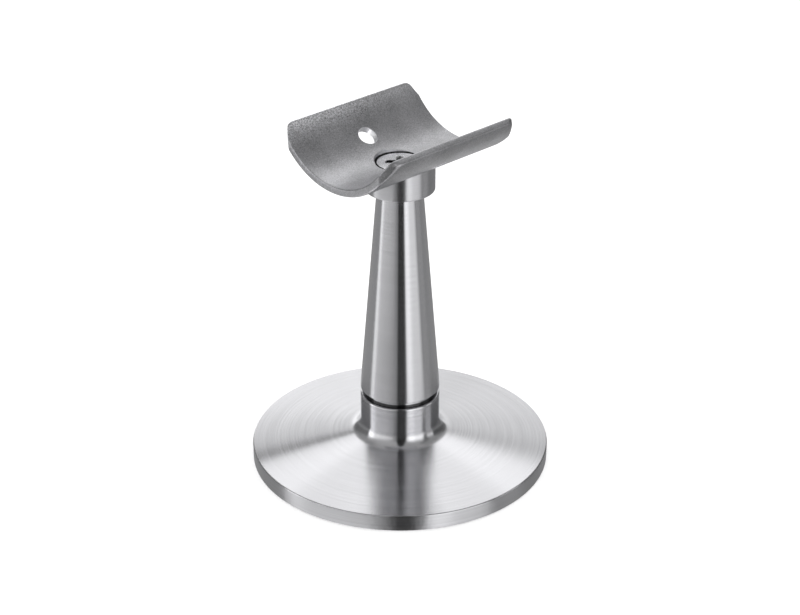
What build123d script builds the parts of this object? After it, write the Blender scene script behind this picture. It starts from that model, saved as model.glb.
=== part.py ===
from build123d import *
from math import copysign, cos, radians, sin
import os

# Railing saddle post for a round 2 inch tube, in millimetres.
# The origin is at the centre of the foot's underside, +Z is up and the tube lies along X.

# Tube, and the plate bent to its curve
tube_radius = 25.4
tube_clearance = 0.1
plate_thickness = 2.5
saddle_length = 58.0
saddle_half_angle = 63.5
saddle_trim_radius = 35.3
saddle_inner_chamfer = 0.3
saddle_outer_chamfer = 0.5
rail_hole_radius = 3.25
rail_hole_angle = 35.0

# Collar between the post and the saddle
collar_radius = 11.3
collar_height = 6.9
collar_edge_radius = 0.6
cope_clearance = 0.02

# Countersunk M8 saddle screw with a cross recess
screw_radius = 4.0
screw_length = 35.0
head_radius = 7.5
head_cone_radius = 8.2
head_angle = 90.0
head_sink = 0.05
screw_hole_radius = 4.3
countersink_radius = 8.1
countersink_clearance = 0.06
recess_radius = 4.7
recess_arm_width = 2.3
recess_depth = 4.2
recess_floor_radius = 1.2

# Tapered post
post_length = 71.5
post_top_radius = 7.5
post_edge_chamfer = 0.3
tenon_radius = 5.5
tenon_length = 3.0
tenon_clearance = 0.05

# Foot, with the neck and the spigot that stand on it
foot_radius = 50.0
rim_height = 5.5
rim_edge_chamfer = 0.4
foot_edge_chamfer = 0.3
foot_slope = 0.12
stem_radius = 13.3
neck_height = 23.2
neck_sweep_radius = 4.5
neck_edge_chamfer = 0.6
groove_height = 2.2
groove_depth = 1.5
spigot_engagement = 3.0
spigot_clearance = 0.05
relief_radius = 42.0
relief_depth = 1.0
floor_thread_radius = 5.0
floor_thread_length = 10.0

# M8 stud that joins foot and post from inside
stud_radius = 4.0
stud_length = 24.0
stud_web = 2.0

# Shared by all tapped holes and by what is screwed into them
thread_clearance = 0.05
thread_end_gap = 0.2
thread_chamfer = 0.8
drill_point = 0.6

# Heights and radii that follow from the sizes above
post_foot_height = neck_height + groove_height
spigot_radius = stem_radius - groove_depth
spigot_top = post_foot_height + spigot_engagement
post_top_height = post_foot_height + post_length
tenon_top = post_top_height + tenon_length
saddle_underside = post_top_height + collar_height
trough_height = saddle_underside + plate_thickness
saddle_inner_radius = tube_radius + tube_clearance
saddle_outer_radius = saddle_inner_radius + plate_thickness
tube_axis_height = trough_height + saddle_inner_radius
head_top = trough_height - head_sink
screw_tip = head_top - screw_length
countersink_height = head_top - (head_cone_radius - countersink_radius) - countersink_clearance
floor_thread_top = relief_depth + floor_thread_length
stud_hole_radius = stud_radius + thread_clearance
stud_hole_floor = floor_thread_top + stud_web + drill_point * (floor_thread_radius + stud_hole_radius)
stud_bottom = stud_hole_floor + thread_end_gap
stud_top = stud_bottom + stud_length


def blind_hole(radius, mouth, floor):
    """Cutter for a drilled hole on the axis, with the drill's point beyond its full depth."""
    point = floor + copysign(drill_point * radius, floor - mouth)
    with BuildPart(mode=Mode.PRIVATE) as hole:
        with BuildSketch(Plane.XZ):
            with BuildLine():
                Polyline((0, mouth), (radius, mouth), (radius, floor), (0, point), close=True)
            make_face()
        revolve(axis=Axis.Z)
    return hole.part


# Foot: one turned piece whose sloping top sweeps up into the neck. The spigot above the
# neck shows as the floor of the shadow groove and carries the post.
with BuildPart() as base_flange:
    with BuildSketch(Plane.XZ) as foot_section:
        neck_root = rim_height + foot_slope * (foot_radius - stem_radius)
        with BuildLine():
            Polyline(
                (0, relief_depth),
                (relief_radius, relief_depth),
                (relief_radius, 0),
                (foot_radius, 0),
                (foot_radius, rim_height),
                (stem_radius, neck_root),
                (stem_radius, neck_height),
                (spigot_radius, neck_height),
                (spigot_radius, spigot_top),
                (0, spigot_top),
                close=True,
            )
        make_face()
        fillet(foot_section.vertices().sort_by_distance((stem_radius, neck_root))[0], neck_sweep_radius)
        chamfer(foot_section.vertices().sort_by_distance((stem_radius, neck_height))[0], neck_edge_chamfer)
        chamfer(foot_section.vertices().sort_by_distance((foot_radius, rim_height))[0], rim_edge_chamfer)
        chamfer(foot_section.vertices().sort_by_distance((foot_radius, 0))[0], foot_edge_chamfer)
    revolve(axis=Axis.Z)
    add(blind_hole(floor_thread_radius, relief_depth, floor_thread_top), mode=Mode.SUBTRACT)
    add(blind_hole(stud_hole_radius, spigot_top, stud_hole_floor), mode=Mode.SUBTRACT)
base_flange.part.label = "base_flange"

# Joining stud: headless, in the spigot and in the foot of the post
with BuildPart() as joining_stud:
    with BuildSketch(Plane.XY.offset(stud_bottom)):
        Circle(stud_radius)
    extrude(amount=stud_length)
    chamfer(joining_stud.edges().filter_by(GeomType.CIRCLE), length=thread_chamfer)
joining_stud.part.label = "joining_stud"

# Post: turned to a taper, socketed on the spigot, with a tenon for the collar
with BuildPart() as post:
    with BuildSketch(Plane.XZ) as post_section:
        socket_radius = spigot_radius + spigot_clearance
        with BuildLine():
            Polyline(
                (0, spigot_top),
                (socket_radius, spigot_top),
                (socket_radius, post_foot_height),
                (stem_radius, post_foot_height),
                (post_top_radius, post_top_height),
                (tenon_radius, post_top_height),
                (tenon_radius, tenon_top),
                (0, tenon_top),
                close=True,
            )
        make_face()
        chamfer(post_section.vertices().sort_by_distance((stem_radius, post_foot_height))[0], post_edge_chamfer)
    revolve(axis=Axis.Z)
    add(blind_hole(stud_hole_radius, spigot_top, stud_top + thread_end_gap), mode=Mode.SUBTRACT)
    add(
        blind_hole(screw_radius + thread_clearance, tenon_top, screw_tip - thread_end_gap),
        mode=Mode.SUBTRACT,
    )
post.part.label = "post"

# Collar: a turned ring with its lower edge broken by a small radius, coped to the saddle's underside
with BuildPart() as collar:
    with BuildSketch(Plane.XY.offset(post_top_height)):
        Circle(collar_radius)
    extrude(amount=collar_height + collar_radius)
    fillet(collar.edges().sort_by(Axis.Z)[0], radius=collar_edge_radius)
    with BuildSketch(Plane.YZ):
        with Locations((0, tube_axis_height)):
            Circle(saddle_outer_radius + cope_clearance)
    extrude(amount=collar_radius + cope_clearance, both=True, mode=Mode.SUBTRACT)
    with Locations((0, 0, post_top_height)):
        Hole(tenon_radius + tenon_clearance, depth=tenon_length)
    with Locations((0, 0, countersink_height)):
        CounterSinkHole(
            screw_hole_radius, countersink_radius, depth=countersink_height, counter_sink_angle=head_angle
        )
collar.part.label = "collar"

# Saddle: a plate bent to the tube, its four corners trimmed to a round about the post, with a
# screw hole half way up each wall and a countersunk hole in the middle of the trough
with BuildPart() as saddle:
    with BuildSketch(Plane.YZ.offset(-saddle_length / 2)):
        with BuildLine():
            bend = ((0, tube_axis_height), -90 - saddle_half_angle, 2 * saddle_half_angle)
            inner_arc = CenterArc(bend[0], saddle_inner_radius, bend[1], bend[2])
            outer_arc = CenterArc(bend[0], saddle_outer_radius, bend[1], bend[2])
            Line(inner_arc @ 0, outer_arc @ 0)
            Line(inner_arc @ 1, outer_arc @ 1)
        make_face()
    extrude(amount=saddle_length)
    with BuildSketch():
        Circle(saddle_trim_radius)
    extrude(amount=tube_axis_height, mode=Mode.INTERSECT)
    inner_face, outer_face = saddle.faces().sort_by(SortBy.AREA)[-2:]
    chamfer(inner_face.edges(), length=saddle_inner_chamfer)
    chamfer(outer_face.edges(), length=saddle_outer_chamfer)
    for side in (-1, 1):
        wall = Plane(
            origin=(0, 0, tube_axis_height),
            x_dir=(1, 0, 0),
            z_dir=(0, side * sin(radians(rail_hole_angle)), -cos(radians(rail_hole_angle))),
        )
        with BuildSketch(wall):
            Circle(rail_hole_radius)
        extrude(amount=saddle_outer_radius + plate_thickness, mode=Mode.SUBTRACT)
    with Locations((0, 0, countersink_height)):
        CounterSinkHole(
            screw_hole_radius, countersink_radius, depth=countersink_height, counter_sink_angle=head_angle
        )
saddle.part.label = "saddle"

# Cross recess: four arms, closed in by a cone that narrows towards the recess floor
with BuildPart(mode=Mode.PRIVATE) as recess:
    with BuildSketch(Plane.XY.offset(head_top)):
        with PolarLocations(0, 2, start_angle=45, angular_range=180):
            Rectangle(2 * recess_radius, recess_arm_width)
    extrude(amount=-recess_depth)
    with BuildSketch(Plane.XZ):
        with BuildLine():
            Polyline(
                (0, head_top),
                (recess_radius, head_top),
                (recess_floor_radius, head_top - recess_depth),
                (0, head_top - recess_depth),
                close=True,
            )
        make_face()
    revolve(axis=Axis.Z, mode=Mode.INTERSECT)

# Saddle screw: pulls saddle and collar down onto the post
with BuildPart() as saddle_screw:
    with BuildSketch(Plane.XZ) as screw_section:
        land_height = head_top - (head_cone_radius - head_radius)
        cone_foot = head_top - (head_cone_radius - screw_radius)
        with BuildLine():
            Polyline(
                (0, head_top),
                (head_radius, head_top),
                (head_radius, land_height),
                (screw_radius, cone_foot),
                (screw_radius, screw_tip),
                (0, screw_tip),
                close=True,
            )
        make_face()
        chamfer(screw_section.vertices().sort_by_distance((screw_radius, screw_tip))[0], thread_chamfer)
    revolve(axis=Axis.Z)
    add(recess.part, mode=Mode.SUBTRACT)
saddle_screw.part.label = "saddle_screw"

os.makedirs("parts", exist_ok=True)
export_step(base_flange.part, "parts/base_flange.step")
export_step(joining_stud.part, "parts/joining_stud.step")
export_step(post.part, "parts/post.step")
export_step(collar.part, "parts/collar.step")
export_step(saddle.part, "parts/saddle.step")
export_step(saddle_screw.part, "parts/saddle_screw.step")
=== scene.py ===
import math

import bmesh
import bpy
import numpy as np
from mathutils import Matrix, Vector


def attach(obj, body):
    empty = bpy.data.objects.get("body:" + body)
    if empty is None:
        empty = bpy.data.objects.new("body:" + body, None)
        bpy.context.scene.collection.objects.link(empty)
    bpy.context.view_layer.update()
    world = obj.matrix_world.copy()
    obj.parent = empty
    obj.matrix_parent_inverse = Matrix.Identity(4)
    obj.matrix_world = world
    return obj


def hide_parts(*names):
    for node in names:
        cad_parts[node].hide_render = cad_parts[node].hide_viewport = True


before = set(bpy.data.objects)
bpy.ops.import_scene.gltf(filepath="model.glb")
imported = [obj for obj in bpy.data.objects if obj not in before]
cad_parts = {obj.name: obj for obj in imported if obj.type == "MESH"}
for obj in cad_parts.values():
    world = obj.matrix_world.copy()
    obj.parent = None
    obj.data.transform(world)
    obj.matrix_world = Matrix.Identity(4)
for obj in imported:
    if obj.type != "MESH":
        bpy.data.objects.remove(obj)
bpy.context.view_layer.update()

# Foot: one piece of stainless steel bar, turned on the lathe and brushed while it turned.
# Its sloping top sweeps up into the neck, and the spigot above the neck carries the post.
# A relief and a tapped M10 hole in the underside take the floor fixing.
foot_radius = 50.0
rim_height = 5.5
top_slope = 0.12
stem_radius = 13.3
neck_height = 23.2
sweep_radius = 4.5
spigot_radius = 11.8
spigot_top = 28.4
stud_hole_radius = 4.05
stud_hole_floor = 18.43
relief_radius = 42.0
relief_depth = 1.0
floor_thread_major = 5.0
floor_thread_minor = 4.25
floor_thread_pitch = 1.5
floor_thread_top = 11.0
thread_flat = 0.12
thread_lead_in = 0.3
drill_point = 0.6
turned_columns = 256
brushed_steel_tone = 0.63
fine_marks_per_mm = 2.3
coarse_marks_per_mm = 0.7


def rounded(corners, degrees=6.0):
    """Points of a path through corners (across, height, radius). A corner with a radius becomes the
    arc that touches both of its runs: its centre lies on the bisector, radius / sin(half angle) away."""
    corners = np.array(corners, float)
    spots = corners[:, :2]
    path = [spots[:1]]
    for before, corner, after, radius in zip(spots[:-2], spots[1:-1], spots[2:], corners[1:-1, 2]):
        if radius == 0:
            path.append(corner[None])
            continue
        back = (before - corner) / np.linalg.norm(before - corner)
        ahead = (after - corner) / np.linalg.norm(after - corner)
        half = math.acos(float(np.clip(back @ ahead, -1, 1))) / 2
        bisector = (back + ahead) / np.linalg.norm(back + ahead)
        centre = corner + bisector * radius / math.sin(half)
        sweep = math.pi - 2 * half
        steps = max(4, math.ceil(math.degrees(sweep) / degrees))
        turn = np.linspace(-sweep / 2, sweep / 2, steps + 1)[:, None]
        across = (ahead - back) / np.linalg.norm(ahead - back)
        path.append(centre + radius * (np.sin(turn) * across - np.cos(turn) * bisector))
    path.append(spots[-1:])
    return np.concatenate(path)


def turned(radius, height, columns):
    """A turned surface as rows of points: (radius cos a, radius sin a, height) for even angles a. Radius
    and height are one value a row, or one a row and column where a thread or a cope breaks the round."""
    angle = np.arange(columns) * 2 * np.pi / columns
    radius = np.broadcast_to(radius, (len(radius), columns))
    height = np.broadcast_to(height, (len(height), columns))
    return np.stack([radius * np.cos(angle), radius * np.sin(angle), height], axis=2)


def thread(height, columns, pitch, root, crest):
    """Radius of a right-hand thread at each height and even angle: a wave that climbs one pitch in a
    turn, with the root radius in its valleys and the crest radius on its tops. The wave is the distance
    |2 phase - 1|, cut flat over the thread_flat share at both ends."""
    turn = np.arange(columns) / columns
    phase = (np.asarray(height)[:, None] / pitch - turn) % 1
    wave = np.clip((np.abs(2 * phase - 1) - thread_flat) / (1 - 2 * thread_flat), 0, 1)
    return root + (crest - root) * wave


def piece(name, sheets, crease=32):
    """An object skinned from sheets of points in millimetres. A sheet's rows are joined by four-sided
    faces, and its last column to its first. Points that meet become one, normals are made to point
    outwards, and edges sharper than crease degrees stay sharp."""
    corners = []
    faces = []
    first = 0
    for points in sheets:
        rows, columns = points.shape[:2]
        row = np.arange(rows - 1)[:, None] * columns
        column = np.arange(columns)[None]
        beside = (column + 1) % columns
        quads = [row + column, row + beside, row + columns + beside, row + columns + column]
        faces.append(first + np.stack(quads, axis=2).reshape(-1, 4))
        corners.append(points.reshape(-1, 3) * 0.001)
        first += rows * columns
    mesh = bpy.data.meshes.new(name)
    mesh.from_pydata(np.concatenate(corners).tolist(), [], np.concatenate(faces).tolist())
    work = bmesh.new()
    work.from_mesh(mesh)
    bmesh.ops.remove_doubles(work, verts=work.verts, dist=2e-7)
    bmesh.ops.dissolve_degenerate(work, edges=work.edges, dist=1e-8)
    bmesh.ops.recalc_face_normals(work, faces=work.faces)
    work.to_mesh(mesh)
    work.free()
    mesh.shade_smooth()
    mesh.set_sharp_from_angle(angle=math.radians(crease))
    made = bpy.data.objects.new(name, mesh)
    bpy.context.scene.collection.objects.link(made)
    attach(made, "root")
    return made


class Shade:
    """An output of a node. Arithmetic on it adds the Math node that works the result out."""

    def __init__(self, tree, socket=None):
        self.tree = tree
        self.socket = socket

    def node(self, kind, settings, values, output=0):
        """Adds a node: its settings first, a ramp's stops among them, and then its sockets' values or
        links. Gives one of its outputs."""
        made = self.tree.nodes.new(kind)
        for name, setting in settings.items():
            if name == "stops":
                ramp = made.color_ramp.elements
                while len(ramp) < len(setting):
                    ramp.new(1.0)
                for element, (place, level) in zip(ramp, setting):
                    element.position = place
                    element.color = (level, level, level, 1.0)
            else:
                setattr(made, name, setting)
        for name, value in values.items():
            if isinstance(value, Shade):
                self.tree.links.new(value.socket, made.inputs[name])
            else:
                made.inputs[name].default_value = value
        return Shade(self.tree, made.outputs[output] if made.outputs else None)

    def math(self, operation, *values):
        """A Math node with that operation on those values."""
        return self.node("ShaderNodeMath", {"operation": operation}, dict(enumerate(values)))

    def __add__(self, other):
        return self.math("ADD", self, other)

    def __radd__(self, other):
        return self.math("ADD", other, self)

    def __sub__(self, other):
        return self.math("SUBTRACT", self, other)

    def __rsub__(self, other):
        return self.math("SUBTRACT", other, self)

    def __mul__(self, other):
        return self.math("MULTIPLY", self, other)

    def __rmul__(self, other):
        return self.math("MULTIPLY", other, self)

    def step(self, low, high):
        """A smooth rise from 0 at low to 1 at high. Where low is the greater of the two, it is 1 below
        high and 0 above low."""
        ends = {"Value": self, "From Min": low, "From Max": high}
        return self.node("ShaderNodeMapRange", {"interpolation_type": "SMOOTHSTEP"}, ends)

    def noise(self, along, scale, detail, dimensions="3D"):
        """Noise about 0.5 along a vector, or along a value with dimensions "1D"."""
        place = "W" if dimensions == "1D" else "Vector"
        values = {place: along, "Scale": scale, "Detail": detail, "Roughness": 0.6}
        return self.node("ShaderNodeTexNoise", {"noise_dimensions": dimensions}, values, 0)

    def vector(self, x, y, z):
        """The vector of three values."""
        return self.node("ShaderNodeCombineXYZ", {}, {"X": x, "Y": y, "Z": z})

    def parts(self):
        """The x, y and z of a vector."""
        x = self.node("ShaderNodeSeparateXYZ", {}, {"Vector": self})
        outputs = x.socket.node.outputs
        return x, Shade(self.tree, outputs["Y"]), Shade(self.tree, outputs["Z"])


def material(name):
    """A new material's node tree, emptied."""
    made = bpy.data.materials.new(name)
    made.use_nodes = True
    made.node_tree.nodes.clear()
    return made, Shade(made.node_tree)


def steel(name):
    """Starts a steel: its material, and as shades the place in metres, and in millimetres its x, y, z
    and its distance from the post's axis, sqrt(x^2 + y^2)."""
    made, shade = material(name)
    place = shade.node("ShaderNodeTexCoord", {}, {}, "Object")
    x, y, z = [part * 1000 for part in place.parts()]
    return made, place, x, y, z, place.math("SQRT", x * x + y * y)


def metal(shade, level, blue, roughness, depth, height, more):
    """Ends a steel: a metal of that grey level with its blue multiplied by blue, that roughness, a bump
    that is depth metres high where height is 1, and more values for the shader's inputs."""
    colour = shade.node(
        "ShaderNodeCombineColor", {}, {"Red": level, "Green": level, "Blue": level * blue}
    )
    bump = shade.node("ShaderNodeBump", {}, {"Strength": 1.0, "Distance": depth, "Height": height})
    values = {"Base Color": colour, "Metallic": 1.0, "Roughness": roughness, "Normal": bump, **more}
    surface = shade.node("ShaderNodeBsdfPrincipled", {}, values)
    shade.node("ShaderNodeOutputMaterial", {}, {"Surface": surface})


def turned_steel(name, roughness, contrast, ring_depth):
    """Brushed stainless steel from the lathe. The marks run round the axis: their noise is read along
    radius and height, and hardly changes round the turn, and reflections blur across them. The foot's
    rim is rougher and softly dented. Painted shade darkens the lower part of the groove over the neck,
    where the post above shades it."""
    made, place, x, y, z, radius = steel(name)
    along = radius + z
    round_x = place.math("DIVIDE", x, radius + 0.01)
    round_y = place.math("DIVIDE", y, radius + 0.01)
    fine_place = place.vector(along * fine_marks_per_mm, round_x * 0.8, round_y * 0.8)
    coarse_place = place.vector(along * coarse_marks_per_mm, round_x * 0.2, round_y * 0.2)
    fine = place.noise(fine_place, scale=1.0, detail=4.0)
    coarse = place.noise(coarse_place, scale=1.0, detail=2.0)
    marks = fine * 0.8 + coarse * 0.2
    # Painted shade: the lower part of the groove over the neck is darkened to 0.2 of its level.
    behind_neck = radius.step(stem_radius - 0.6, stem_radius - 0.8)
    over_neck = z.step(neck_height - 0.3, neck_height - 0.1) * z.step(neck_height + 1.1, neck_height + 0.8)
    level = (brushed_steel_tone + (marks - 0.5) * contrast) * (1 - behind_neck * over_neck * 0.8)
    on_rim = z.step(rim_height + 0.1, rim_height - 0.5)
    dents = place.noise(place, scale=260.0, detail=2.0) * on_rim * 10
    roughness_here = roughness + on_rim * 0.15 + (marks - 0.5) * 0.1
    blur = {"Anisotropic": 1.0, "Anisotropic Rotation": 0.25}
    metal(place, level, 1.03, roughness_here, ring_depth, marks + dents, blur)
    return made


neck_root = rim_height + top_slope * (foot_radius - stem_radius)
foot_path = rounded(
    [
        (0, stud_hole_floor - drill_point * stud_hole_radius, 0),
        (stud_hole_radius, stud_hole_floor, 0),
        (stud_hole_radius, spigot_top, 0.3),
        (spigot_radius, spigot_top, 0.3),
        (spigot_radius, neck_height, 0.1),
        (stem_radius, neck_height, 0.6),
        (stem_radius, neck_root, sweep_radius),
        (foot_radius, rim_height, 0.5),
        (foot_radius, 0, 0.35),
        (relief_radius, 0, 0.3),
        (relief_radius, relief_depth, 0.2),
        (floor_thread_major + thread_lead_in, relief_depth, 0),
    ]
)
thread_rows = np.linspace(relief_depth, floor_thread_top, 74)
thread_radius = thread(
    thread_rows, turned_columns, floor_thread_pitch, floor_thread_minor, floor_thread_major
)
thread_mouth = floor_thread_major + thread_lead_in - (thread_rows - relief_depth)
thread_radius = np.maximum(thread_radius, thread_mouth[:, None])
drill_cone = floor_thread_top + drill_point * floor_thread_major
foot_sheets = [
    turned(foot_path[:, 0][:, None], foot_path[:, 1][:, None], turned_columns),
    turned(thread_radius, thread_rows[:, None], turned_columns),
    turned(
        np.stack([thread_radius[-1], np.zeros(turned_columns)]),
        np.array([[floor_thread_top], [drill_cone]]),
        turned_columns,
    ),
]
foot = piece("foot_turning", foot_sheets)
foot.data.materials.append(turned_steel("brushed_foot_steel", 0.2, 0.3, 0.000005))
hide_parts("base_flange")

# Joining stud: a headless M8 threaded rod, screwed into the spigot and into the foot of the post.
# It pulls the two together from inside and can't be seen once they are joined. The saddle's screw
# shares its steel, so the sizes of that screw's head are set here.
stud_radius = 4.0
thread_root = 3.35
thread_end_radius = 3.2
m8_pitch = 1.25
stud_bottom = 18.63
stud_top = 42.63
stud_columns = 72
head_top = 106.25
head_radius = 7.5
recess_radius = 4.7


def threaded_rod(bottom, top, columns):
    """Rows of an M8 rod between two heights, its ends chamfered at 45 degrees to under the root."""
    rows = np.linspace(bottom, top, round((top - bottom) / m8_pitch * 9) + 1)
    radius = thread(rows, columns, m8_pitch, thread_root, stud_radius)
    chamfer = thread_end_radius + np.minimum(rows - bottom, top - rows)
    return np.minimum(radius, chamfer[:, None]), rows[:, None]


def bright_steel(name, tone, roughness):
    """Bright stainless steel of a machine screw, with a fine grain. Shade is painted round the head's
    edge just under its face, where it sits in the countersink, and under the face within the recess's
    reach, for the shade inside the cross recess. So the screw's shank and the stud, both out of sight,
    are painted dark too."""
    made, place, _, _, z, radius = steel(name)
    grain = place.noise(place, scale=2600.0, detail=3.0)
    # Painted shade: dark round the head's edge in the countersink, and under the face within the recess's
    # reach.
    seat_shade = radius.step(head_radius - 0.2, head_radius - 0.05) * z.step(head_top - 0.15, head_top - 0.35)
    in_reach = radius.step(recess_radius + 0.5, recess_radius + 0.3)
    recess_shade = in_reach * z.step(head_top - 0.05, head_top - 0.65)
    level = (tone + (grain - 0.5) * 0.14) * (1 - seat_shade * 0.9) * (1 - recess_shade * 0.75)
    metal(place, level, 1.03, roughness + (grain - 0.5) * 0.15, 0.00001, grain, {})
    return made


stud_rod_radius, stud_rod_height = threaded_rod(stud_bottom, stud_top, stud_columns)
stud_axis = np.zeros((1, stud_columns))
stud_sheet = turned(
    np.concatenate([stud_axis, stud_rod_radius, stud_axis]),
    np.concatenate([stud_rod_height[:1], stud_rod_height, stud_rod_height[-1:]]),
    stud_columns,
)
stud = piece("joining_stud_thread", [stud_sheet])
bright_screw_steel = bright_steel("bright_screw_steel", 0.9, 0.2)
stud.data.materials.append(bright_screw_steel)
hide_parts("joining_stud")

# Post: turned and brushed to a taper, 71.5 mm long. A socket in its foot fits over the spigot, and
# a tenon on its top centres the collar. Both ends are tapped M8 for the stud and the screw.
post_foot = 25.4
post_top = 96.9
post_top_radius = 7.5
socket_radius = 11.85
tenon_radius = 5.5
tenon_top = 99.9
stud_hole_end = 42.83
screw_hole_floor = 71.05
post_path = rounded(
    [
        (0, stud_hole_end + drill_point * stud_hole_radius, 0),
        (stud_hole_radius, stud_hole_end, 0),
        (stud_hole_radius, spigot_top, 0),
        (socket_radius, spigot_top, 0),
        (socket_radius, post_foot, 0.1),
        (stem_radius, post_foot, 0.3),
        (post_top_radius, post_top, 0.15),
        (tenon_radius, post_top, 0.1),
        (tenon_radius, tenon_top, 0.25),
        (stud_hole_radius, tenon_top, 0.2),
        (stud_hole_radius, screw_hole_floor, 0),
        (0, screw_hole_floor - drill_point * stud_hole_radius, 0),
    ]
)
post_sheet = turned(post_path[:, 0][:, None], post_path[:, 1][:, None], turned_columns)
post = piece("post_turning", [post_sheet])
post.data.materials.append(turned_steel("brushed_post_steel", 0.24, 0.14, 0.0000015))
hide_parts("post")

# Collar: a turned stainless ring with its lower edge just broken. Its top is coped, cut hollow to
# the saddle's underside, and it is countersunk so that the screw's head pulls saddle and collar down.
collar_radius = 11.3
collar_rounding = 0.6
collar_wall_start = 99.5
cope_edge = 0.15
tube_axis = 131.8
saddle_outer_radius = 28.0
cope_radius = 28.02
tenon_hole_radius = 5.55
screw_hole_radius = 4.3
countersink_radius = 8.1
countersink_height = 106.09
cone_apex = countersink_height - countersink_radius


def under_saddle(across, radius):
    """Height of the underside of a cylinder round the tube's axis, at a distance across from the
    middle plane: tube_axis - sqrt(radius^2 - across^2)."""
    return tube_axis - np.sqrt(radius**2 - across**2)


def cone_meets(radius, sine):
    """Radius at which the 45 degree countersink cuts a cylinder round the tube's axis, at angles a given
    by their sines: r = under_saddle(r sin a) - cone_apex, found by putting the last r back in."""
    meet = np.full(len(sine), under_saddle(0, radius) - cone_apex)
    for _ in range(12):
        meet = under_saddle(meet * sine, radius) - cone_apex
    return meet


collar_angle_sine = np.sin(np.arange(turned_columns) * 2 * np.pi / turned_columns)
cone_edge = cone_meets(cope_radius, collar_angle_sine)
cope_share = np.linspace(0, 1, 9)[:, None]
cope_rows = cone_edge + (collar_radius - cope_edge - cone_edge) * cope_share
cope_height = under_saddle(cope_rows * collar_angle_sine, cope_radius)
wall_top = under_saddle(collar_radius * collar_angle_sine, cope_radius) - cope_edge
collar_path = rounded(
    [
        (collar_radius, collar_wall_start, 0),
        (collar_radius, post_top, collar_rounding),
        (tenon_hole_radius, post_top, 0.15),
        (tenon_hole_radius, tenon_top, 0),
        (screw_hole_radius, tenon_top, 0),
        (screw_hole_radius, cone_apex + screw_hole_radius, 0),
    ]
)
flat_rows = np.ones((1, turned_columns))
collar_radii = np.concatenate(
    [cope_rows, collar_radius * flat_rows, collar_path[:, :1] * flat_rows, cone_edge[None]]
)
collar_heights = np.concatenate(
    [cope_height, wall_top[None], collar_path[:, 1:] * flat_rows, cope_height[:1]]
)
collar = piece("collar_turning", [turned(collar_radii, collar_heights, turned_columns)])
collar.data.materials.append(turned_steel("brushed_collar_steel", 0.36, 0.14, 0.0000015))
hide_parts("collar")

# Saddle: one stainless plate, drilled, bent round the tube's curve and trimmed at its corners.
# Its faces keep the dull grain of the sheet. A rail screw goes through a hole half way up each
# wall, and the middle hole is countersunk for the screw that holds it on the collar and the post.
saddle_inner_radius = 25.5
saddle_length = 58.0
saddle_half_angle = math.radians(63.5)
saddle_trim = 35.3
point_easing_along = 2.0
point_easing_down = 1.87
inner_edge = 0.5
outer_edge = 0.6
rail_hole_radius = 3.25
rail_hole_angle = math.radians(35.0)
hole_edge = 0.2
patch_split = math.radians(23.3)
split_point = 12
split_steps = 40


def on_bend(x, bend, radius):
    """The point at x along the tube's axis, radius away from it and at the bend angle from straight
    down: (x, radius sin(bend), tube_axis - radius cos(bend))."""
    x, bend, radius = np.broadcast_arrays(x, bend, radius)
    return np.stack([x, radius * np.sin(bend), tube_axis - radius * np.cos(bend)], axis=-1)


def quarter_outline(inset, radius):
    """A quarter of the plate's outline, moved in by inset: pairs (x, bend angle) up the end, round the
    corner and along the rim to its middle. The corner is trimmed to a round about the post, so there
    x = sqrt(trim^2 - y^2) with y = radius sin(bend). The point where the trim meets the rim is eased by
    a curve tangent to both, (1 - u)^2 start + 2 u (1 - u) point + u^2 finish."""
    end_x = saddle_length / 2 - inset
    trim = saddle_trim - inset
    rim_bend = saddle_half_angle - math.asin(inset / radius)
    trim_bend = math.asin(math.sqrt(trim**2 - end_x**2) / radius)
    end_bend = np.concatenate(
        [np.linspace(0, patch_split, split_point + 1), np.linspace(patch_split, trim_bend, 15)[1:-1]]
    )
    eased_bend = rim_bend - point_easing_down / radius
    corner_bend = np.linspace(trim_bend, eased_bend, 9)
    corner_x = np.sqrt(trim**2 - (radius * np.sin(corner_bend)) ** 2)
    point_x = math.sqrt(trim**2 - (radius * math.sin(rim_bend)) ** 2)
    share = np.linspace(0, 1, 9)[1:]
    start = (1 - share) ** 2
    finish = share**2
    point = 1 - start - finish
    eased_x = start * corner_x[-1] + point * point_x + finish * (point_x - point_easing_along)
    eased = start * eased_bend + (point + finish) * rim_bend
    rim_x = np.linspace(eased_x[-1], 0, 23)[1:]
    x = np.concatenate([np.full(len(end_bend), end_x), corner_x, eased_x, rim_x])
    bend = np.concatenate([end_bend, corner_bend, eased, np.full(len(rim_x), rim_bend)])
    return np.stack([x, bend], axis=1)


def whole_outline(inset, radius):
    """The quarter outline mirrored to all four, as one round of pairs."""
    quarter = quarter_outline(inset, radius)
    half = np.concatenate([quarter, (quarter * (-1, 1))[-2::-1]])
    return np.concatenate([half, -half[1:-1]])


def wall_outline(inset, radius, side):
    """The outline of one wall above the split line, and the split line that closes it."""
    quarter = quarter_outline(inset, radius)[split_point:]
    split_x = np.linspace(-quarter[0, 0], quarter[0, 0], split_steps + 1)[1:-1]
    split = np.stack([split_x, np.full(len(split_x), patch_split)], axis=1)
    outline = np.concatenate([quarter, (quarter * (-1, 1))[-2::-1], split])
    return outline * (1, side)


def middle_outline(inset, radius):
    """The outline of the middle between both split lines."""
    end = quarter_outline(inset, radius)[: split_point + 1]
    split_x = np.linspace(end[0, 0], -end[0, 0], split_steps + 1)[1:-1]
    split = np.stack([split_x, np.full(len(split_x), patch_split)], axis=1)
    half = np.concatenate([end, split, (end * (-1, 1))[:0:-1]])
    return np.concatenate([half, -half])


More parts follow.
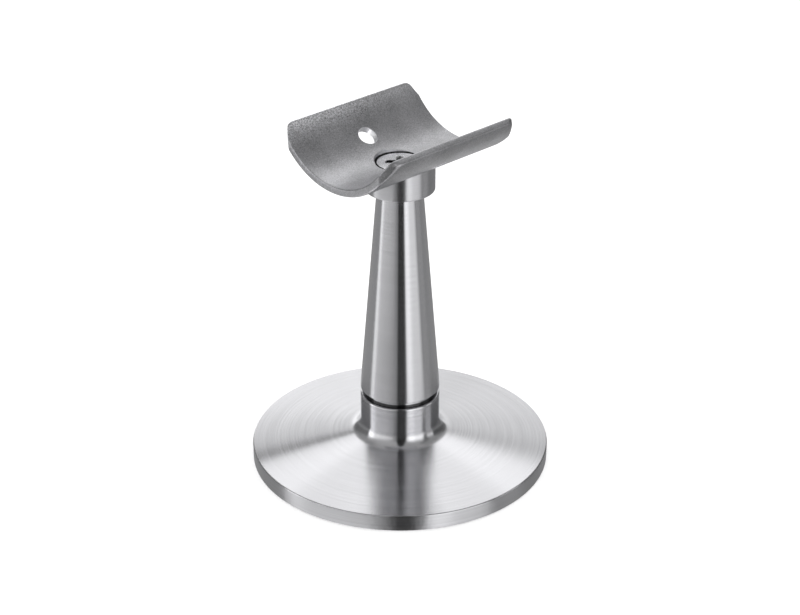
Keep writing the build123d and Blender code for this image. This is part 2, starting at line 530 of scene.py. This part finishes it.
def hole_ring(angle, hole_radius, middle, radius):
    """Where a round hole, drilled towards the tube's axis, cuts the cylinder of that radius: pairs
    (x, bend angle) with x = hole radius cos a and bend = middle + arcsin(hole radius sin a / radius)."""
    bend = middle + np.arcsin(hole_radius * np.sin(angle) / radius)
    return np.stack([hole_radius * np.cos(angle), bend], axis=1)


def hole_angles(outline, middle, radius):
    """The direction of each spot of an outline, seen from the middle of a hole."""
    return np.arctan2((outline[:, 1] - middle) * radius, outline[:, 0])


def patch(ring, outline, radius):
    """Rows from a hole's ring out to an outline, at even steps raised to the power 1.3, so they are
    closer together near the hole."""
    share = (np.linspace(0, 1, 19) ** 1.3)[:, None, None]
    spots = ring + (outline - ring) * share
    return on_bend(spots[..., 0], spots[..., 1], radius)


plate_thickness = saddle_outer_radius - saddle_inner_radius
trough_bottom = tube_axis - saddle_inner_radius
round_turn = np.linspace(0, np.pi / 2, 7)
edge_inset = 1 - np.sin(round_turn)
edge_depth = 1 - np.cos(round_turn)
edge_insets = np.concatenate([inner_edge * edge_inset, outer_edge * edge_inset[::-1]])
edge_radii = np.concatenate(
    [saddle_inner_radius + inner_edge * edge_depth, saddle_outer_radius - outer_edge * edge_depth[::-1]]
)
edge_rows = []
for inset, radius in zip(edge_insets, edge_radii):
    outline = whole_outline(inset, radius)
    edge_rows.append(on_bend(outline[:, 0], outline[:, 1], radius))
saddle_sheets = [np.stack(edge_rows)]
hole_radii = rail_hole_radius + np.array([hole_edge, 0, 0, hole_edge])
hole_depths = np.array([0, hole_edge, plate_thickness - hole_edge, plate_thickness]) + saddle_inner_radius
for side in (-1, 1):
    middle = side * rail_hole_angle
    inner_outline = wall_outline(inner_edge, saddle_inner_radius, side)
    outer_outline = wall_outline(outer_edge, saddle_outer_radius, side)
    angles = hole_angles(inner_outline, middle, saddle_inner_radius)
    rings = [hole_ring(angles, size, middle, depth) for size, depth in zip(hole_radii, hole_depths)]
    bore = np.stack([on_bend(ring[:, 0], ring[:, 1], depth) for ring, depth in zip(rings, hole_depths)])
    saddle_sheets.append(bore)
    saddle_sheets.append(patch(rings[0], inner_outline, saddle_inner_radius))
    saddle_sheets.append(patch(rings[-1], outer_outline, saddle_outer_radius))

inner_middle = middle_outline(inner_edge, saddle_inner_radius)
outer_middle = middle_outline(outer_edge, saddle_outer_radius)
angles = hole_angles(inner_middle, 0, saddle_inner_radius)
mouth = countersink_radius + hole_edge
meet = cone_meets(saddle_outer_radius, np.sin(angles))
mouth_ring = hole_ring(angles, mouth, 0, saddle_inner_radius)
throat_ring = hole_ring(angles, meet, 0, saddle_outer_radius)
wall_height = under_saddle(countersink_radius * np.sin(angles), saddle_inner_radius) - hole_edge
seat_radius = np.stack([np.full(len(angles), countersink_radius)] * 2 + [meet])
seat_height = np.stack(
    [wall_height, np.full(len(angles), countersink_height), meet + cone_apex]
)
seat = np.stack([seat_radius * np.cos(angles), seat_radius * np.sin(angles), seat_height], axis=2)
seat = np.concatenate([on_bend(mouth_ring[:, 0], mouth_ring[:, 1], saddle_inner_radius)[None], seat])
saddle_sheets.append(seat)
saddle_sheets.append(patch(mouth_ring, inner_middle, saddle_inner_radius))
saddle_sheets.append(patch(throat_ring, outer_middle, saddle_outer_radius))
saddle = piece("saddle_plate", saddle_sheets)


def plate_steel(name, tone, roughness):
    """Satin stainless sheet: an even grain of small pits and peaks that sparkles, over slow cloudy
    changes of tone. A painted highlight makes it lighter and its grain stronger towards the top of the
    wall at +Y, most at the -X end, for the sparkle seen there. The fresh cuts of the holes are bright,
    and painted shade darkens the seat under the screw's head."""
    made, place, x, y, z, radius = steel(name)
    grain = place.noise(place, scale=2300.0, detail=3.0)
    cloud = place.noise(place, scale=90.0, detail=3.0)
    out = place.math("ABSOLUTE", y) * math.cos(rail_hole_angle)
    beside_hole = out - (tube_axis - z) * math.sin(rail_hole_angle)
    from_hole = place.math("SQRT", x * x + beside_hole * beside_hole)
    rail_hole_cut = from_hole.step(rail_hole_radius + 0.2, rail_hole_radius + 0.05)
    mouth_cut = radius.step(countersink_radius + 0.2, countersink_radius + 0.1)
    fresh_cut = rail_hole_cut + mouth_cut * z.step(trough_bottom + 0.1, trough_bottom + 0.4)
    # Painted highlight: lighter, with a stronger grain, towards the top of the wall at +Y, most at the -X
    # end.
    painted_rim_sparkle = z.step(112.5, 120.5) * y.step(0, 10) * (1 - x.step(-20, 30) * 0.75)
    # Painted shade: the countersunk seat under the screw's head is darkened to 0.1 of its level.
    seat_shade = radius.step(countersink_radius + 0.2, countersink_radius)
    seat_shade = seat_shade * z.step(trough_bottom + 0.3, trough_bottom)
    level = tone + fresh_cut * 0.5 + painted_rim_sparkle * 0.26
    level = level + (grain - 0.5) * (0.6 + painted_rim_sparkle * 1.8) + (cloud - 0.5) * 0.3
    level = level * (1 - seat_shade * 0.9)
    metal(place, level, 1.035, roughness + (grain - 0.5) * 0.12, 0.00008, grain, {})
    return made


saddle.data.materials.append(plate_steel("satin_plate_steel", 0.44, 0.36))
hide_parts("saddle")

# Saddle screw: an M8 countersunk machine screw of bright stainless steel with a cross recess. It
# goes down through saddle and collar into the post, its head a little under the plate's surface.
head_land = 105.55
cone_foot = 102.05
plain_radius = 3.99
plain_foot = 101.25
screw_tip = 71.25
recess_floor_radius = 1.2
recess_half_width = 1.15
recess_depth = 4.2
recess_edge = 0.12
screw_columns = 144
screw_angle = np.arange(screw_columns) * 2 * np.pi / screw_columns
from_arm = np.abs((screw_angle % (np.pi / 2)) - np.pi / 4)


def recess_outline(reach, half_width):
    """Radius of a cross with rounded-off arms at 45 degrees: the smaller of the arm's reach and of
    half its width / sin(angle from the nearest arm)."""
    return np.minimum(reach, half_width / np.maximum(np.sin(from_arm), 1e-6))


recess_share = np.linspace(0, 1, 15)[:, None]
recess_reach = recess_radius + (recess_floor_radius - recess_radius) * recess_share
recess_rows = recess_outline(recess_reach, recess_half_width)[::-1]
recess_heights = (head_top - recess_edge - (recess_depth - recess_edge) * recess_share)[::-1]
lip = recess_outline(recess_radius + recess_edge, recess_half_width + recess_edge)
face_start = lip.max() + 0.3
head_path = rounded(
    [
        (face_start, head_top, 0),
        (head_radius, head_top, 0.25),
        (head_radius, head_land, 0.1),
        (stud_radius, cone_foot, 0.2),
        (plain_radius, plain_foot, 0),
    ]
)
shank_rows = np.linspace(plain_foot, screw_tip, round((cone_foot - screw_tip) / m8_pitch * 8) + 1)
shank = thread(shank_rows, screw_columns, m8_pitch, thread_root, stud_radius)
shank = np.maximum(shank, plain_radius - (plain_foot - shank_rows)[:, None])
shank = np.minimum(shank, thread_end_radius + (shank_rows - screw_tip)[:, None])
whole_turn = np.ones((1, screw_columns))
screw_radii = [
    0 * whole_turn,
    recess_rows,
    lip[None],
    head_path[:, :1] * whole_turn,
    shank,
    0 * whole_turn,
]
screw_heights = [
    recess_heights[:1] * whole_turn,
    recess_heights * whole_turn,
    head_top * whole_turn,
    head_path[:, 1:] * whole_turn,
    shank_rows[:, None] * whole_turn,
    screw_tip * whole_turn,
]
screw_sheet = turned(np.concatenate(screw_radii), np.concatenate(screw_heights), screw_columns)
screw = piece("saddle_screw_m8", [screw_sheet])
screw.data.materials.append(bright_screw_steel)
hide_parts("saddle_screw")

# Camera: a long lens that looks down on the object from above the saddle, the tube's axis running
# away to the right. Azimuth, elevation and distance say where it is as seen from its target, a point
# on the post's axis, in millimetres.
camera_azimuth = math.radians(-134.88)
camera_elevation = math.radians(26.8)
camera_distance = 600.96
camera_target = (0.0, 0.0, 54.46)
camera_data = bpy.data.cameras.new("camera")
camera_data.sensor_width = 36.0
camera_data.lens = 82.127
camera = bpy.data.objects.new("camera", camera_data)
bpy.context.scene.collection.objects.link(camera)
away = Vector(
    (
        math.cos(camera_elevation) * math.cos(camera_azimuth),
        math.cos(camera_elevation) * math.sin(camera_azimuth),
        math.sin(camera_elevation),
    )
)
camera.location = (Vector(camera_target) + away * camera_distance) * 0.001
camera.rotation_euler = (-away).to_track_quat("-Z", "Y").to_euler()
bpy.context.scene.camera = camera

# Studio: a white room with light and dark cards and windows round the object, which only the steel
# mirrors. They are part of the light's own colour, fixed in the room whatever the camera does.
# Bearings are in degrees from the photographer's side, positive to the right, and elevations from level.
studio = bpy.data.worlds.new("studio")
bpy.context.scene.world = studio
studio.use_nodes = True
studio.node_tree.nodes.clear()
room = Shade(studio.node_tree)
direction = room.node("ShaderNodeTexCoord", {}, {}, "Generated")
east, north, height = direction.parts()
towards = east * math.cos(camera_azimuth) + north * math.sin(camera_azimuth)
rightwards = north * math.cos(camera_azimuth) - east * math.sin(camera_azimuth)
bearing = room.math("ARCTAN2", rightwards, towards) * (180 / math.pi)
from_front = room.math("ABSOLUTE", bearing)
elevation = room.math("ARCSINE", height) * (180 / math.pi)


def ramp(value, low, high, stops):
    """A level that follows a value between low and high, through stops (value, level)."""
    places = [((place - low) / (high - low), level) for place, level in stops]
    share = (value - low) * (1 / (high - low))
    return room.node("ShaderNodeValToRGB", {"stops": places}, {"Fac": share})


def blend(share, first, second):
    """The first light where the share is 0 and the second where it is 1."""
    return room.node("ShaderNodeMix", {"data_type": "RGBA"}, {0: share, 6: first, 7: second}, 2)


def grey(level):
    """A colour of that level."""
    return (level, level, level, 1.0)


def window(value, low, high, soft):
    """1 between low and high, falling to 0 over a soft edge outside them."""
    return value.step(low - soft, low) * value.step(high + soft, high)


tall_cards = ramp(
    bearing,
    -180,
    180,
    [
        (-180, 0.38),
        (-93, 0.38),
        (-90, 1.2),
        (-82, 1.2),
        (-79, 0.64),
        (-10, 0.30),
        (-6, 0.045),
        (18, 0.045),
        (22, 1.15),
        (29, 1.35),
        (37, 1.15),
        (43, 0.9),
        (57, 0.85),
        (65, 0.92),
        (72, 0.8),
        (75.5, 0.34),
        (140, 0.34),
        (180, 0.30),
    ],
)
upper_cards = ramp(
    bearing,
    -180,
    180,
    [
        (-180, 0.22),
        (-150, 0.13),
        (-93, 0.18),
        (-90, 2.2),
        (-80, 2.2),
        (-70, 1.3),
        (-40, 1.05),
        (-24, 0.75),
        (-15, 0.35),
        (-6, 0.02),
        (15, 0.02),
        (20, 1.2),
        (28, 1.9),
        (38, 1.9),
        (44, 1.5),
        (58, 1.5),
        (64, 1.2),
        (69, 0.22),
        (110, 0.07),
        (150, 0.09),
        (180, 0.22),
    ],
)
left_window = ramp(
    elevation,
    -10,
    50,
    [(-10, 1.4), (18, 1.45), (23, 0.95), (30.5, 0.9), (32.3, 0.25), (33.8, 0.25), (35.3, 1.9), (50, 1.9)],
)
right_window = ramp(
    elevation,
    -10,
    50,
    [(-10, 1.0), (18, 1.05), (24, 0.95), (29, 0.87), (31, 0.68), (33, 0.85), (37, 1.9), (50, 1.9)],
)
back_window = blend(bearing.step(-2, 2), left_window, right_window)
narrower_above = from_front - elevation.step(31, 35) * 4
above_left = window(bearing, -180, -6, 3) * elevation.step(24, 32)
above_right = window(bearing, 13, 70, 3) * elevation.step(30, 38)
above_front = window(bearing, -8, 13, 3) * elevation.step(24, 32)
upper_back = window(from_front, 90, 190, 4) * window(elevation, 32, 58, 8)
skylight = window(from_front, 163, 190, 3) * window(elevation, 42, 74, 3)
behind = window(narrower_above, 154, 190, 4) * window(elevation, -3, 45, 3)
small_card = window(bearing, 79, 96, 4) * window(elevation, 6, 22, 4)
below_left = window(bearing, -100, -30, 8) * elevation.step(-42, -50)
below_back = window(from_front, 155, 190, 8) * elevation.step(-31, -36)
light = blend(elevation.step(-6, 2), tall_cards, upper_cards)
light = blend(elevation.step(56, 64), light, grey(0.4))
light = blend(above_left, light, grey(0.45))
light = blend(above_right, light, grey(0.36))
light = blend(above_front, light, grey(0.01))
light = blend(upper_back, light, grey(0.33))
light = blend(skylight, light, grey(1.25))
light = blend(behind, light, back_window)
light = blend(small_card, light, grey(1.0))
light = blend(below_left, light, grey(2.0))
light = blend(below_back, light, grey(0.8))
uneven = bearing.noise(bearing * 0.3, scale=1.0, detail=3.0, dimensions="1D")
streaks = 1 + (uneven - 0.5) * 0.35
light = room.node("ShaderNodeVectorMath", {"operation": "SCALE"}, {0: light, "Scale": streaks})
glossy = room.node("ShaderNodeLightPath", {}, {}, "Is Glossy Ray")
mirrored = blend(glossy, grey(1.0), light)
background = room.node("ShaderNodeBackground", {}, {"Color": mirrored, "Strength": 1.0})
room.node("ShaderNodeOutputWorld", {}, {"Surface": background})

# Floor: a pale sweep under the object that takes its soft shadow, with a glow that lifts it towards
# the white of the room. Rays that the steel mirrors pass through it and see the room below instead.
floor_half = 1500.0
floor_grid = np.array([[(-1, -1, 0), (1, -1, 0)], [(-1, 1, 0), (1, 1, 0)]], float) * floor_half
floor_mesh = bpy.data.meshes.new("studio_floor")
floor_mesh.from_pydata((floor_grid.reshape(-1, 3) * 0.001).tolist(), [], [(0, 1, 3, 2)])
floor = bpy.data.objects.new("studio_floor", floor_mesh)
bpy.context.scene.collection.objects.link(floor)
floor.location.z = -0.0002
floor_material, shade = material("pale_floor")
matt = shade.node("ShaderNodeBsdfDiffuse", {}, {"Color": (0.9, 0.9, 0.9, 1)})
glow = shade.node("ShaderNodeEmission", {}, {"Color": (1, 1, 1, 1), "Strength": 0.35})
lit = shade.node("ShaderNodeAddShader", {}, {0: matt, 1: glow})
clear = shade.node("ShaderNodeBsdfTransparent", {}, {})
seen = shade.node("ShaderNodeLightPath", {}, {}, "Is Glossy Ray")
mixed = shade.node("ShaderNodeMixShader", {}, {0: seen, 1: lit, 2: clear})
shade.node("ShaderNodeOutputMaterial", {}, {"Surface": mixed})
floor_mesh.materials.append(floor_material)

bpy.context.scene.view_settings.view_transform = "Standard"
